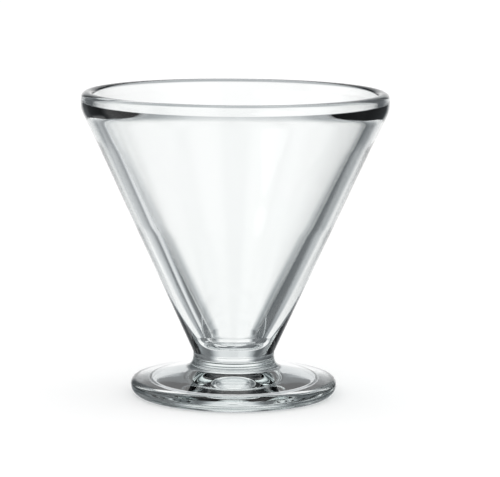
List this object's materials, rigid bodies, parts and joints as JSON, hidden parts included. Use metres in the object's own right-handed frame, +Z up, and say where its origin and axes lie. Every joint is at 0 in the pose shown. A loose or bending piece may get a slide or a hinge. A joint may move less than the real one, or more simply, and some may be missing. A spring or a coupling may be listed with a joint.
{
  "type": "dessert coupe",
  "caption": "Clear pressed-glass dessert coupe: a conical bowl with a rounded lip on a low disc foot.",
  "frame": {"origin": "centre of the resting plane, on the axis of the glass", "axes": "+Z up along the axis of the glass; +X and +Y are alike, because the form is turned about Z"},
  "size_m": [0.0986, 0.0986, 0.098],
  "materials": {
    "clear_glass": "fire-polished, glossy, clear with a faint cool tint"
  },
  "bodies": {
    "root": {"bowl": "clear_glass", "foot": "clear_glass"}
  },
  "joints": []
}
